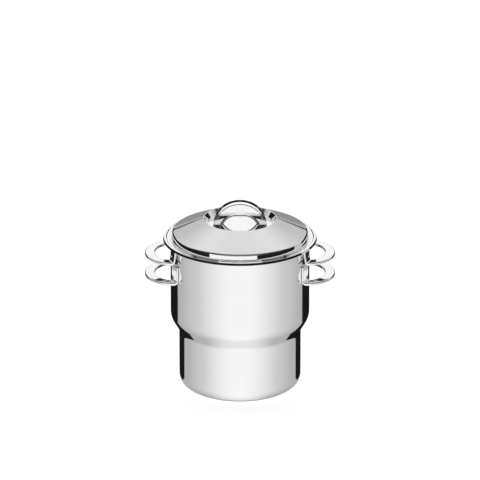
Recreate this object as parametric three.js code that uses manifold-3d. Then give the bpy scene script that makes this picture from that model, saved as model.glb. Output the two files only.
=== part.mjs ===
// Couscous steamer: a stepped stainless pot, a steamer vessel that hangs in it by its lip,
// and a cone-shaped lid with an arched handle.
// Millimetres, +Z up, origin at the centre of the underside, side handles along X.

import * as THREE from 'three';
import { mergeVertices } from 'three/addons/utils/BufferGeometryUtils.js';
import Module from 'manifold-3d';

// Room left between two pieces that touch
const SEAT_GAP = 0.3;

// Pot: one drawn sheet, narrow water chamber below, wide chamber above a tapered step
const POT_INNER_RADIUS = 100;
const POT_SHEET = 0.8;
const POT_HEIGHT = 227;
const STEP_INSET = 12.4;
const STEP_BOTTOM = 87.1;
const STEP_RISE = 21;
const STEP_FILLET = 7;
const CORNER_RADIUS = 18;
const POT_BEAD_WIDTH = 1.6;
const POT_BEAD_HEIGHT = 3.4;

// Capsule base: an aluminium disc held under the pot by a steel cap
const BASE_HEIGHT = 3.3;
const BASE_CAP_SHEET = 0.6;
const BASE_CORE_MARGIN = 2.5;

// Steamer: straight vessel with a wide lip that rests on the pot's bead
const STEAMER_FIT = 0.6;
const STEAMER_SHEET = 0.7;
const STEAMER_DEPTH = 117.6;
const STEAMER_FILLET = 4;
const LIP_FILLET = 1.6;
const LIP_OVERHANG = 10.7;
const LIP_EDGE_RADIUS = 2.2;
const LIP_EDGE_DROP = 3.7;
const LEDGE_WIDTH = 6;

// Perforated floor of the steamer
const GRID_SHEET = 0.8;
const HOLE_DIAMETER = 5;
const HOLE_PITCH = 15;
const HOLE_RINGS = 5;

// Side handles: flat loops whose feet are bent up into weld tabs
const LOOP_INSET = 5.4;
const LOOP_REACH = 42.7;
const LOOP_HALF_WIDTH = 49;
const LOOP_OPENING_REACH = 28.1;
const LOOP_OPENING_HALF_WIDTH = 35.5;
const LOOP_THICKNESS = 4.5;
const LOOP_BEVEL_DEPTH = 1.4;
const LOOP_BEVEL_WIDTH = 2.4;
const STEAMER_LOOP_DROP = 22.1;
const POT_LOOP_DROP = 31.1;
const TAB_THICKNESS = 3.8;
const TAB_BEND = 2.5;
const TAB_EDGE = 1;
const POT_TAB_RISE = 24;
const HANDLE_LIFT_CLEARANCE = 0.6;

// Lid: plug that enters the steamer, folded collar, upright skirt, cone and sunken centre
const LID_SHEET = 0.7;
const LID_FIT = 0.5;
const PLUG_DEPTH = 8;
const COLLAR_WIDTH = 6.6;
const COLLAR_THICKNESS = 1.4;
const COLLAR_ROUND = 0.6;
const SKIRT_HEIGHT = 8.5;
const SKIRT_FILLET = 1.8;
const LID_RISE = 19.2;
const RECESS_RADIUS = 52.6;
const RECESS_FLOOR_RADIUS = 46.7;
const RECESS_DEPTH = 9;
const RECESS_FILLET = 2.5;

// Lid handle: solid arch, bevelled on top, its feet faceted around the finger opening
const ARCH_RADIUS = 38.9;
const ARCH_HEIGHT = 36.8;
const ARCH_DEPTH = 10;
const ARCH_BEVEL_DEPTH = 4;
const ARCH_BEVEL_WIDTH = 4.4;
const ARCH_OPENING_HALF_WIDTH = 24.5;
const ARCH_OPENING_HEIGHT = 14.4;
const ARCH_RIM_WIDTH = 3.2;
const ARCH_FOOT_RIM = 1.5;
const FACET_RADIUS = 51;
const FACET_MARGIN = 4.1;
const FACET_SLOPE = 4;

// Screws and washers under the lid
const SCREW_RADIUS = 1.8;
const SCREW_REACH = 8;
const SCREW_HEAD_RADIUS = 3.6;
const SCREW_HEAD_HEIGHT = 2.2;
const SCREW_HEAD_ROUND = 1.1;
const SLOT_WIDTH = 1;
const SLOT_DEPTH = 1;
const WASHER_RADIUS = 4.6;
const WASHER_SHEET = 0.8;

// Facets of the curved faces
const TURN_SEGMENTS = 40;
const SCREW_SEGMENTS = 12;
const HOLE_SIDES = 8;
const CURVE_SEGMENTS = 7;
const CHORD_ERROR = 0.12;
const CUT_OVERRUN = 5;

// Radii that follow from the driving dimensions
const potOuterRadius = POT_INNER_RADIUS + POT_SHEET;
const potBeadRadius = potOuterRadius + POT_BEAD_WIDTH;
const lowerOuterRadius = potOuterRadius - STEP_INSET;
const steamerOuterRadius = POT_INNER_RADIUS - STEAMER_FIT;
const steamerInnerRadius = steamerOuterRadius - STEAMER_SHEET;
const ledgeRadius = steamerInnerRadius - LEDGE_WIDTH;
const gridRadius = steamerOuterRadius - STEAMER_FILLET - SEAT_GAP;
const lipRadius = potOuterRadius + LIP_OVERHANG;
const loopCentre = potOuterRadius - LOOP_INSET;
const lidOuterRadius = steamerInnerRadius - LID_FIT;
const lidInnerRadius = lidOuterRadius - LID_SHEET;
const collarRadius = lidOuterRadius + COLLAR_WIDTH;

// Heights that follow from the driving dimensions
const lipUnderside = POT_HEIGHT + SEAT_GAP;
const lipTop = lipUnderside + STEAMER_SHEET;
const steamerBottom = lipTop - STEAMER_DEPTH;
const ledgeTop = steamerBottom + STEAMER_SHEET;
const steamerLoopTop = lipTop - STEAMER_LOOP_DROP;
const potLoopTop = steamerLoopTop - POT_LOOP_DROP;
const collarBottom = lipTop + SEAT_GAP;
const collarTop = collarBottom + COLLAR_THICKNESS;
const plugBottom = lipTop - PLUG_DEPTH;
const skirtTop = collarTop + SKIRT_HEIGHT;
const recessEdge = skirtTop + LID_RISE;
const recessFloor = recessEdge - RECESS_DEPTH;
const archSeat = recessFloor + SEAT_GAP;

// Materials
const polishedSteel = new THREE.MeshStandardMaterial({ color: 0xd8dadc, roughness: 0.12, metalness: 1 });
const satinSteel = new THREE.MeshStandardMaterial({ color: 0xc4c7c9, roughness: 0.35, metalness: 1 });
const aluminium = new THREE.MeshStandardMaterial({ color: 0xb9bcbf, roughness: 0.45, metalness: 1 });
const screwSteel = new THREE.MeshStandardMaterial({ color: 0xb4b7ba, roughness: 0.3, metalness: 1 });

// Profile helpers: a corner is a radius, a height and the fillet that rounds it
function corner(radius, height, fillet = 0) {
  return { at: new THREE.Vector2(radius, height), fillet };
}

function arcSteps(arcRadius, turn) {
  const widestStep = 2 * Math.acos(1 - CHORD_ERROR / arcRadius);
  return Math.max(2, Math.ceil(Math.abs(turn) / widestStep));
}

function arcPoints(radius, height, arcRadius, from, to) {
  const arc = new THREE.EllipseCurve(radius, height, arcRadius, arcRadius, from, to, to < from);
  return arc.getPoints(arcSteps(arcRadius, to - from));
}

function roundedProfile(corners) {
  const points = [];
  corners.forEach(({ at, fillet }, index) => {
    if (fillet === 0) {
      points.push(at);
      return;
    }
    const back = corners[index - 1].at.clone().sub(at).normalize();
    const ahead = corners[index + 1].at.clone().sub(at).normalize();
    const half = Math.acos(back.dot(ahead)) / 2;
    const turn = (Math.PI - 2 * half) * Math.sign(ahead.cross(back));
    const start = at.clone().addScaledVector(back, fillet / Math.tan(half));
    const toCentre = back.clone().add(ahead).normalize();
    const centre = at.clone().addScaledVector(toCentre, fillet / Math.sin(half));
    const steps = arcSteps(fillet, turn);
    for (let step = 0; step <= steps; step += 1) {
      points.push(start.clone().rotateAround(centre, (turn * step) / steps));
    }
  });
  return points;
}

function turned(profile, segments = TURN_SEGMENTS) {
  return new THREE.LatheGeometry(profile, segments).rotateX(Math.PI / 2);
}

function turnedDisc(radius, bottom, top, segments = TURN_SEGMENTS) {
  const corners = [corner(0, bottom), corner(radius, bottom), corner(radius, top), corner(0, top)];
  return turned(roundedProfile(corners), segments);
}

// Solids for adding and cutting
const wasm = await Module();
wasm.setup();

function toSolid(geometry) {
  const bare = geometry.clone();
  bare.deleteAttribute('normal');
  bare.deleteAttribute('uv');
  const merged = mergeVertices(bare, 1e-4);
  const index = merged.index.array;
  const kept = [];
  for (let i = 0; i < index.length; i += 3) {
    const [a, b, c] = index.slice(i, i + 3);
    if (a !== b && b !== c && c !== a) kept.push(a, b, c);
  }
  const vertProperties = new Float32Array(merged.attributes.position.array);
  const triVerts = new Uint32Array(kept);
  return new wasm.Manifold(new wasm.Mesh({ numProp: 3, vertProperties, triVerts }));
}

function toGeometry(solid) {
  const mesh = solid.getMesh();
  const geometry = new THREE.BufferGeometry();
  geometry.setAttribute('position', new THREE.BufferAttribute(mesh.vertProperties, 3));
  geometry.setIndex(new THREE.BufferAttribute(mesh.triVerts, 1));
  geometry.computeVertexNormals();
  return geometry;
}

// The assembly: the pot stands, the steamer lifts out of it, the lid lifts off the steamer
const couscousSteamer = new THREE.Group();
const pot = new THREE.Group();
const steamer = new THREE.Group();
const lid = new THREE.Group();
couscousSteamer.add(pot, steamer, lid);

function addPiece(group, name, geometry, material) {
  const piece = new THREE.Mesh(geometry, material);
  piece.name = name;
  group.add(piece);
  return piece;
}

// Pot body: the inner face is the outer one set in by the sheet, and the bottom corner is cut
// flat where the capsule base starts
const cornerCentre = lowerOuterRadius - CORNER_RADIUS;
const stepTurn = Math.atan(STEP_INSET / STEP_RISE);

function potWall(inset, rimCorners) {
  const bottom = BASE_HEIGHT + inset;
  const cornerRadius = CORNER_RADIUS - inset;
  const cornerStart = -Math.asin((CORNER_RADIUS - bottom) / cornerRadius);
  const stepStart = STEP_BOTTOM + inset * Math.tan(stepTurn / 2);
  return [
    new THREE.Vector2(0, bottom),
    ...arcPoints(cornerCentre, CORNER_RADIUS, cornerRadius, cornerStart, 0),
    ...roundedProfile([
      corner(lowerOuterRadius - inset, CORNER_RADIUS),
      corner(lowerOuterRadius - inset, stepStart, STEP_FILLET + inset),
      corner(potOuterRadius - inset, stepStart + STEP_RISE, STEP_FILLET - inset),
      ...rimCorners,
    ]).slice(1),
  ];
}

const beadRound = POT_BEAD_WIDTH / 2;
const potOutside = potWall(0, [
  corner(potOuterRadius, POT_HEIGHT - POT_BEAD_HEIGHT),
  corner(potBeadRadius, POT_HEIGHT - POT_BEAD_HEIGHT + POT_BEAD_WIDTH),
  corner(potBeadRadius, POT_HEIGHT, beadRound),
  corner(POT_INNER_RADIUS + beadRound, POT_HEIGHT),
]);
const potInside = potWall(POT_SHEET, [corner(POT_INNER_RADIUS, POT_HEIGHT - beadRound)]);
addPiece(pot, 'pot_body', turned([...potOutside, ...potInside.reverse()]), polishedSteel);

// Capsule base: the cap carries on the pot's corner curve and stops just below the pot
const capTop = BASE_HEIGHT - SEAT_GAP;
const capInnerCorner = CORNER_RADIUS - BASE_CAP_SHEET;
const capOuterEnd = -Math.asin((CORNER_RADIUS - capTop) / CORNER_RADIUS);
const capInnerEnd = -Math.asin((CORNER_RADIUS - capTop) / capInnerCorner);
const baseCapProfile = [
  new THREE.Vector2(0, 0),
  ...arcPoints(cornerCentre, CORNER_RADIUS, CORNER_RADIUS, -Math.PI / 2, capOuterEnd),
  ...arcPoints(cornerCentre, CORNER_RADIUS, capInnerCorner, capInnerEnd, -Math.PI / 2),
  new THREE.Vector2(0, BASE_CAP_SHEET),
];
addPiece(pot, 'base_cap', turned(baseCapProfile), polishedSteel);

const coreBottom = BASE_CAP_SHEET + SEAT_GAP;
const coreReach = Math.sqrt(capInnerCorner ** 2 - (CORNER_RADIUS - coreBottom) ** 2);
const coreRadius = cornerCentre + coreReach - BASE_CORE_MARGIN;
addPiece(pot, 'base_core', turnedDisc(coreRadius, coreBottom, capTop), aluminium);

// Side handle: a loop on the +X side, trimmed to the wall that it stands at. Its feet are bent up
// into weld tabs as wide as the loop: a ring turned with the bend, cut to the loop's outline.
function sideHandle(wallRadius, loopTop, tabTop) {
  const root = loopCentre - LOOP_OPENING_REACH;
  const quarter = Math.PI / 2;
  const outline = new THREE.Shape();
  outline.moveTo(root, -LOOP_HALF_WIDTH);
  outline.lineTo(loopCentre, -LOOP_HALF_WIDTH);
  outline.absellipse(loopCentre, 0, LOOP_REACH, LOOP_HALF_WIDTH, -quarter, quarter, false);
  outline.lineTo(root, LOOP_HALF_WIDTH);
  outline.lineTo(root, LOOP_OPENING_HALF_WIDTH);
  outline.lineTo(loopCentre, LOOP_OPENING_HALF_WIDTH);
  outline.absellipse(loopCentre, 0, LOOP_OPENING_REACH, LOOP_OPENING_HALF_WIDTH, quarter, -quarter, true);
  outline.lineTo(root, -LOOP_OPENING_HALF_WIDTH);

  const loopBottom = loopTop - LOOP_THICKNESS;
  const band = new THREE.ExtrudeGeometry(outline, {
    depth: LOOP_THICKNESS - 2 * LOOP_BEVEL_DEPTH,
    bevelThickness: LOOP_BEVEL_DEPTH,
    bevelSize: LOOP_BEVEL_WIDTH,
    bevelOffset: -LOOP_BEVEL_WIDTH,
    bevelSegments: 2,
    curveSegments: CURVE_SEGMENTS,
  }).translate(0, 0, loopBottom + LOOP_BEVEL_DEPTH);
  const wall = turnedDisc(wallRadius, loopBottom - CUT_OVERRUN, loopTop + CUT_OVERRUN);

  const tabBottom = loopBottom + LOOP_BEVEL_DEPTH;
  const bendTop = loopTop - LOOP_BEVEL_DEPTH / 2;
  const tabFace = wallRadius + TAB_THICKNESS;
  const tabRing = turned(roundedProfile([
    corner(wallRadius, tabBottom),
    corner(tabFace + TAB_BEND, tabBottom),
    corner(tabFace + TAB_BEND, bendTop),
    corner(tabFace, bendTop + TAB_BEND),
    corner(tabFace, tabTop, TAB_EDGE),
    corner(wallRadius, tabTop),
    corner(wallRadius, tabBottom),
  ]));
  const footColumn = new THREE.ExtrudeGeometry(outline, {
    depth: tabTop - tabBottom + 2 * CUT_OVERRUN,
    bevelEnabled: false,
    curveSegments: CURVE_SEGMENTS,
  }).translate(0, 0, tabBottom - CUT_OVERRUN);

  const loop = toSolid(band).subtract(toSolid(wall));
  const tabs = toSolid(tabRing).intersect(toSolid(footColumn));
  return toGeometry(loop.add(tabs));
}

// Pot handles: welded to the wall, tabs ending below the steamer's handles
const potHandle = sideHandle(potOuterRadius + SEAT_GAP, potLoopTop, potLoopTop + POT_TAB_RISE);
addPiece(pot, 'pot_handle_right', potHandle, polishedSteel);
addPiece(pot, 'pot_handle_left', potHandle, polishedSteel).rotation.z = Math.PI;

// Steamer body: ledge that carries the floor, straight wall, lip turned down at its edge
const steamerProfile = roundedProfile([
  corner(ledgeRadius, ledgeTop),
  corner(ledgeRadius, steamerBottom),
  corner(steamerOuterRadius, steamerBottom, STEAMER_FILLET),
  corner(steamerOuterRadius, lipUnderside, LIP_FILLET),
  corner(lipRadius - STEAMER_SHEET, lipUnderside, LIP_EDGE_RADIUS - STEAMER_SHEET),
  corner(lipRadius - STEAMER_SHEET, lipTop - LIP_EDGE_DROP),
  corner(lipRadius, lipTop - LIP_EDGE_DROP),
  corner(lipRadius, lipTop, LIP_EDGE_RADIUS),
  corner(steamerInnerRadius, lipTop, LIP_FILLET + STEAMER_SHEET),
  corner(steamerInnerRadius, ledgeTop, STEAMER_FILLET - STEAMER_SHEET),
  corner(ledgeRadius, ledgeTop),
]);
addPiece(steamer, 'steamer_body', turned(steamerProfile), polishedSteel);

// Steamer floor: rings of holes on a triangular pitch
const gridShape = new THREE.Shape();
gridShape.absarc(0, 0, gridRadius, 0, 2 * Math.PI, false);
for (let row = -HOLE_RINGS; row <= HOLE_RINGS; row += 1) {
  const holesInRow = 2 * HOLE_RINGS + 1 - Math.abs(row);
  for (let place = 0; place < holesInRow; place += 1) {
    const x = (place - (holesInRow - 1) / 2) * HOLE_PITCH;
    const y = (row * HOLE_PITCH * Math.sqrt(3)) / 2;
    const hole = new THREE.Path();
    hole.absarc(x, y, HOLE_DIAMETER / 2, 0, 2 * Math.PI, true);
    gridShape.holes.push(new THREE.Path(hole.getSpacedPoints(HOLE_SIDES)));
  }
}
const gridGeometry = new THREE.ExtrudeGeometry(gridShape, {
  depth: GRID_SHEET,
  bevelEnabled: false,
  curveSegments: TURN_SEGMENTS / 2,
});
addPiece(steamer, 'steamer_grid', gridGeometry, satinSteel).position.z = ledgeTop + SEAT_GAP;

// Steamer handles: hung from the lip and clear of the pot's bead, so they lift with the steamer
const liftRadius = potBeadRadius + HANDLE_LIFT_CLEARANCE;
const steamerHandle = sideHandle(liftRadius, steamerLoopTop, lipUnderside - SEAT_GAP);
addPiece(steamer, 'steamer_handle_right', steamerHandle, polishedSteel);
addPiece(steamer, 'steamer_handle_left', steamerHandle, polishedSteel).rotation.z = Math.PI;

// Lid shell: sheet cone with a sunken centre, drilled for the two handle screws. The inner face
// lies one sheet below the outer one, so its corners shift along their bisectors.
const coneTurn = Math.atan(LID_RISE / (lidOuterRadius - RECESS_RADIUS));
const recessTurn = Math.atan(RECESS_DEPTH / (RECESS_RADIUS - RECESS_FLOOR_RADIUS));
const edgeReach = LID_SHEET / Math.cos((coneTurn + recessTurn) / 2);
const edgeLean = (recessTurn - coneTurn) / 2;
const skirtShift = LID_SHEET * Math.tan((Math.PI / 2 - coneTurn) / 2);
const floorShift = LID_SHEET * Math.tan(recessTurn / 2);
const lidProfile = roundedProfile([
  corner(0, recessFloor - LID_SHEET),
  corner(RECESS_FLOOR_RADIUS + floorShift, recessFloor - LID_SHEET, RECESS_FILLET + LID_SHEET),
  corner(
    RECESS_RADIUS + edgeReach * Math.sin(edgeLean),
    recessEdge - edgeReach * Math.cos(edgeLean),
    RECESS_FILLET - LID_SHEET,
  ),
  corner(lidInnerRadius, skirtTop - skirtShift, SKIRT_FILLET - LID_SHEET),
  corner(lidInnerRadius, plugBottom),
  corner(lidOuterRadius, plugBottom),
  corner(lidOuterRadius, collarBottom),
  corner(collarRadius, collarBottom, COLLAR_ROUND),
  corner(collarRadius, collarTop, COLLAR_ROUND),
  corner(lidOuterRadius, collarTop),
  corner(lidOuterRadius, skirtTop, SKIRT_FILLET),
  corner(RECESS_RADIUS, recessEdge, RECESS_FILLET),
  corner(RECESS_FLOOR_RADIUS, recessFloor, RECESS_FILLET),
  corner(0, recessFloor),
]);
const screwPlace = (ARCH_OPENING_HALF_WIDTH + ARCH_RADIUS) / 2;
const holeRadius = SCREW_RADIUS + SEAT_GAP;
const lidHole = turnedDisc(holeRadius, recessFloor - CUT_OVERRUN, recessFloor + CUT_OVERRUN, SCREW_SEGMENTS);
let lidSolid = toSolid(turned(lidProfile));
for (const side of [-1, 1]) {
  lidSolid = lidSolid.subtract(toSolid(lidHole.clone().translate(side * screwPlace, 0, 0)));
}
addPiece(lid, 'lid_shell', toGeometry(lidSolid), polishedSteel);

// Lid handle: a bevelled half disc in the XZ plane, pierced by a low arched finger opening. A shallow
// cone sinks each face towards the opening, but leaves a raised rim round it and along the feet.
const archCentre = archSeat + ARCH_HEIGHT - ARCH_RADIUS;
const footBottom = Math.min(archSeat, archCentre) - 2 * ARCH_BEVEL_WIDTH - CUT_OVERRUN;
const archShape = new THREE.Shape();
archShape.moveTo(-ARCH_RADIUS, footBottom);
archShape.lineTo(ARCH_RADIUS, footBottom);
archShape.lineTo(ARCH_RADIUS, archCentre);
archShape.absarc(0, archCentre, ARCH_RADIUS, 0, Math.PI, false);
const halfDisc = new THREE.ExtrudeGeometry(archShape, {
  depth: ARCH_DEPTH - 2 * ARCH_BEVEL_DEPTH,
  bevelThickness: ARCH_BEVEL_DEPTH,
  bevelSize: ARCH_BEVEL_WIDTH,
  bevelOffset: -ARCH_BEVEL_WIDTH,
  bevelSegments: 3,
  curveSegments: 2 * CURVE_SEGMENTS,
}).translate(0, 0, ARCH_BEVEL_DEPTH - ARCH_DEPTH / 2).rotateX(Math.PI / 2);

const openingRadius = (ARCH_OPENING_HALF_WIDTH ** 2 + ARCH_OPENING_HEIGHT ** 2) / (2 * ARCH_OPENING_HEIGHT);
const openingCentre = archSeat + ARCH_OPENING_HEIGHT - openingRadius;
const acrossBar = (radius) => new THREE.CylinderGeometry(radius, radius, 2 * ARCH_DEPTH, TURN_SEGMENTS)
  .translate(0, 0, openingCentre);
const facetCentre = archSeat + ARCH_OPENING_HEIGHT + FACET_MARGIN - FACET_RADIUS;
const facetFace = FACET_RADIUS + FACET_SLOPE * CUT_OVERRUN;
const facet = new THREE.CylinderGeometry(0, facetFace, facetFace / FACET_SLOPE, TURN_SEGMENTS)
  .translate(0, facetFace / FACET_SLOPE / 2 - CUT_OVERRUN - ARCH_DEPTH / 2, 0)
  .translate(0, 0, facetCentre);
const footRim = turnedDisc(2 * FACET_RADIUS, footBottom - CUT_OVERRUN, archSeat + ARCH_FOOT_RIM);
const sunkFace = toSolid(facet)
  .subtract(toSolid(acrossBar(openingRadius + ARCH_RIM_WIDTH)))
  .subtract(toSolid(footRim));
const underSeat = turnedDisc(2 * ARCH_RADIUS, footBottom - CUT_OVERRUN, archSeat);
const threadHole = turnedDisc(
  holeRadius, archSeat - CUT_OVERRUN, archSeat + SCREW_REACH + SEAT_GAP, SCREW_SEGMENTS,
);
let archSolid = toSolid(halfDisc)
  .subtract(toSolid(acrossBar(openingRadius)))
  .subtract(sunkFace)
  .subtract(sunkFace.rotate([0, 0, 180]))
  .subtract(toSolid(underSeat));
for (const side of [-1, 1]) {
  archSolid = archSolid.subtract(toSolid(threadHole.clone().translate(side * screwPlace, 0, 0)));
}
addPiece(lid, 'lid_handle', toGeometry(archSolid), polishedSteel);

// Handle screws: slotted pan heads on washers under the sunken centre of the lid
const washerTop = recessFloor - LID_SHEET - SEAT_GAP;
const washerBottom = washerTop - WASHER_SHEET;
const headTop = washerBottom - SEAT_GAP;
const headBottom = headTop - SCREW_HEAD_HEIGHT;
const washer = turned(roundedProfile([
  corner(holeRadius, washerBottom),
  corner(WASHER_RADIUS, washerBottom),
  corner(WASHER_RADIUS, washerTop),
  corner(holeRadius, washerTop),
  corner(holeRadius, washerBottom),
]), SCREW_SEGMENTS);
const screwBlank = turned(roundedProfile([
  corner(0, headBottom),
  corner(SCREW_HEAD_RADIUS, headBottom, SCREW_HEAD_ROUND),
  corner(SCREW_HEAD_RADIUS, headTop),
  corner(SCREW_RADIUS, headTop),
  corner(SCREW_RADIUS, archSeat + SCREW_REACH),
  corner(0, archSeat + SCREW_REACH),
]), SCREW_SEGMENTS);
const slot = new THREE.BoxGeometry(3 * SCREW_HEAD_RADIUS, SLOT_WIDTH, 2 * SLOT_DEPTH).translate(0, 0, headBottom);
const screw = toGeometry(toSolid(screwBlank).subtract(toSolid(slot)));
for (const [sideName, side] of [['right', 1], ['left', -1]]) {
  addPiece(lid, `lid_washer_${sideName}`, washer, screwSteel).position.x = side * screwPlace;
  addPiece(lid, `lid_screw_${sideName}`, screw, screwSteel).position.x = side * screwPlace;
}

export default couscousSteamer;
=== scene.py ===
# Couscous steamer in polished stainless steel: a stepped pot, a steamer vessel that hangs in it by
# its lip, and a cone lid with an arched handle. Metres, +Z up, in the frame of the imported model.
import math

import bmesh
import bpy
from mathutils import Matrix, Vector


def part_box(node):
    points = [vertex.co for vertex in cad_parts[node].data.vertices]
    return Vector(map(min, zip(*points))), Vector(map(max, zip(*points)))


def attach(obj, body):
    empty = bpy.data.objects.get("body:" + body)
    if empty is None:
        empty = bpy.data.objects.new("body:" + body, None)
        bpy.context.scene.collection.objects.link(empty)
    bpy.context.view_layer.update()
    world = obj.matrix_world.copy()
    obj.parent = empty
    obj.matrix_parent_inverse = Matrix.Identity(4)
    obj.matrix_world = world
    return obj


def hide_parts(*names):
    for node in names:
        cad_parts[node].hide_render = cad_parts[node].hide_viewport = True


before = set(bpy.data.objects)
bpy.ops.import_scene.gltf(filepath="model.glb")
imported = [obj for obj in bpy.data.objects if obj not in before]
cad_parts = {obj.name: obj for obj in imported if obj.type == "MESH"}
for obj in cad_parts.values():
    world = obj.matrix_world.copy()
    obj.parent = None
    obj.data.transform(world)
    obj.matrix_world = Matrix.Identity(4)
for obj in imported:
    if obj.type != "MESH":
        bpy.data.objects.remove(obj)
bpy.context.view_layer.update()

# Pot: one stainless sheet, deep-drawn with a tapered step between a narrow water chamber and a wide
# mouth. The rim is rolled into a bead for the steamer to hang on, and the wall is buffed on a lathe.
MM = 0.001
TURN_STEPS = 192
FILLET_STEP = math.radians(6)
HOLD = 0.2
SHARP_ANGLE = math.radians(32)


def arc(centre, radius, start, end):
    """Points of an arc from one angle to another."""
    steps = math.ceil(abs(end - start) / FILLET_STEP)
    angles = [start + (end - start) * step / steps for step in range(steps + 1)]
    return [centre + radius * Vector((math.cos(angle), math.sin(angle))) for angle in angles]


def rounded(corners):
    """Profile of (radius, height, fillet) corners in mm. Each fillet is an arc with a holding point on
    either side, so that the flats beside it still mirror as flats when they are shaded smooth."""
    points = []
    for index, (radius, height, fillet) in enumerate(corners):
        at = Vector((radius, height))
        if not fillet:
            points.append(at)
            continue
        back = (Vector(corners[index - 1][:2]) - at).normalized()
        ahead = (Vector(corners[(index + 1) % len(corners)][:2]) - at).normalized()
        half = back.angle(ahead) / 2
        start = at + back * fillet / math.tan(half)
        end = at + ahead * fillet / math.tan(half)
        centre = at + (back + ahead).normalized() * fillet / math.sin(half)
        turn = math.copysign(math.pi - 2 * half, (start - centre).cross(end - centre))
        first = math.atan2(start.y - centre.y, start.x - centre.x)
        points.append(start + back * HOLD)
        points += arc(centre, fillet, first, first + turn)
        points.append(end + ahead * HOLD)
    return points


def turned(profile, steps=TURN_STEPS):
    """Solid spun round the Z axis from a profile in mm that closes on itself or ends on the axis."""
    shape = bmesh.new()
    rings = []
    for radius, height in profile:
        angles = [2 * math.pi * step / steps for step in range(steps if radius else 1)]
        places = [Vector((radius * math.cos(angle), radius * math.sin(angle), height)) for angle in angles]
        rings.append([shape.verts.new(place * MM) for place in places])
    following = rings[1:] if len(rings[0]) == 1 else rings[1:] + rings[:1]
    for ring, other in zip(rings, following):
        for step in range(steps):
            near = [ring[step % len(ring)], ring[(step + 1) % len(ring)]]
            far = [other[(step + 1) % len(other)], other[step % len(other)]]
            shape.faces.new(list(dict.fromkeys(near + far)))
    return shape


def add_piece(name, shape, finish, body, node):
    """Makes the piece that stands for a node of the frame, and lets it ride on its body."""
    bmesh.ops.recalc_face_normals(shape, faces=shape.faces)
    mesh = bpy.data.meshes.new(name)
    shape.to_mesh(mesh)
    shape.free()
    mesh.shade_smooth()
    mesh.set_sharp_from_angle(angle=SHARP_ANGLE)
    mesh.materials.append(finish)
    piece = bpy.data.objects.new(name, mesh)
    bpy.context.collection.objects.link(piece)
    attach(piece, body)
    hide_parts(node)


def linear(hex_colour):
    """Linear RGBA of an sRGB hex colour."""
    shares = [int(hex_colour[place:place + 2], 16) / 255 for place in (1, 3, 5)]
    return [s / 12.92 if s <= 0.04045 else ((s + 0.055) / 1.055) ** 2.4 for s in shares] + [1]


def add_node(tree, kind, links, **settings):
    """Adds a node with its settings. Each input named in links gets an output's link or a value."""
    node = tree.nodes.new(kind)
    for name, value in settings.items():
        setattr(node, name, value)
    for name, value in links.items():
        if isinstance(value, bpy.types.NodeSocket):
            tree.links.new(value, node.inputs[name])
        else:
            node.inputs[name].default_value = value
    return node


def new_finish(name):
    """Empty material and its node tree."""
    finish = bpy.data.materials.new(name)
    finish.use_nodes = True
    finish.node_tree.nodes.clear()
    return finish, finish.node_tree


# Mirror-polished stainless sheet: buffed on a lathe, so the eye sees clean reflections with faint rings
# round the axis. The rings of a buffing wheel are under 0.1 mm, drawn at 2.5 mm here so that they show.
STEEL_BRIGHT = "#F7F7F6"
STEEL_CLOUD = "#F1F2F3"
BUFFING_RING = 2.5 * MM
BUFFING_CLOUD = 45 * MM
FINE_DETAIL = 3
SOFT_DETAIL = 2
BUFFED_ROUGHNESS = (0.045, 0.085)
RING_STRENGTH = 0.02
RING_RELIEF = 0.02 * MM

polished_sheet, tree = new_finish("mirror_polished_stainless_sheet")
place = add_node(tree, "ShaderNodeTexCoord", {}).outputs["Object"]
flat = add_node(tree, "ShaderNodeVectorMath", {0: place, 1: (1, 1, 0)}, operation="MULTIPLY")
spread = add_node(tree, "ShaderNodeVectorMath", {0: flat.outputs["Vector"]}, operation="LENGTH")
height = add_node(tree, "ShaderNodeSeparateXYZ", {"Vector": place}).outputs["Z"]
ring_place = add_node(tree, "ShaderNodeCombineXYZ", {"X": spread.outputs["Value"], "Y": height})
rings = add_node(tree, "ShaderNodeTexNoise", {
    "Vector": ring_place.outputs["Vector"], "Scale": 1 / BUFFING_RING, "Detail": FINE_DETAIL,
})
clouds = add_node(tree, "ShaderNodeTexNoise", {
    "Vector": place, "Scale": 1 / BUFFING_CLOUD, "Detail": SOFT_DETAIL,
})
colour = add_node(tree, "ShaderNodeMix", {
    "Factor": clouds.outputs["Fac"], "A": linear(STEEL_BRIGHT), "B": linear(STEEL_CLOUD),
}, data_type="RGBA")
gloss = add_node(tree, "ShaderNodeMapRange", {
    "Value": rings.outputs["Fac"], "To Min": BUFFED_ROUGHNESS[0], "To Max": BUFFED_ROUGHNESS[1],
})
relief = add_node(tree, "ShaderNodeBump", {
    "Height": rings.outputs["Fac"], "Strength": RING_STRENGTH, "Distance": RING_RELIEF,
})
steel = add_node(tree, "ShaderNodeBsdfPrincipled", {
    "Base Color": colour.outputs["Result"], "Metallic": 1, "Roughness": gloss.outputs["Result"],
    "Normal": relief.outputs["Normal"],
})
add_node(tree, "ShaderNodeOutputMaterial", {"Surface": steel.outputs["BSDF"]})

POT_SHEET = 0.8
BEAD_WIDTH = 1.6
BEAD_HEIGHT = 3.4
STEP_INSET = 12.4
STEP_BOTTOM = 87.4
STEP_RISE = 21
STEP_FOOT_FILLET = 12
STEP_FILLET = 26
CORNER_RADIUS = 18
bead_round = BEAD_WIDTH / 2
base_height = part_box("pot_body")[0].z / MM
pot_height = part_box("pot_body")[1].z / MM
bead_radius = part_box("pot_body")[1].x / MM
pot_radius = bead_radius - BEAD_WIDTH
lower_radius = pot_radius - STEP_INSET
corner_centre = Vector((lower_radius - CORNER_RADIUS, CORNER_RADIUS))
step_turn = math.atan(STEP_INSET / STEP_RISE)


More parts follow.
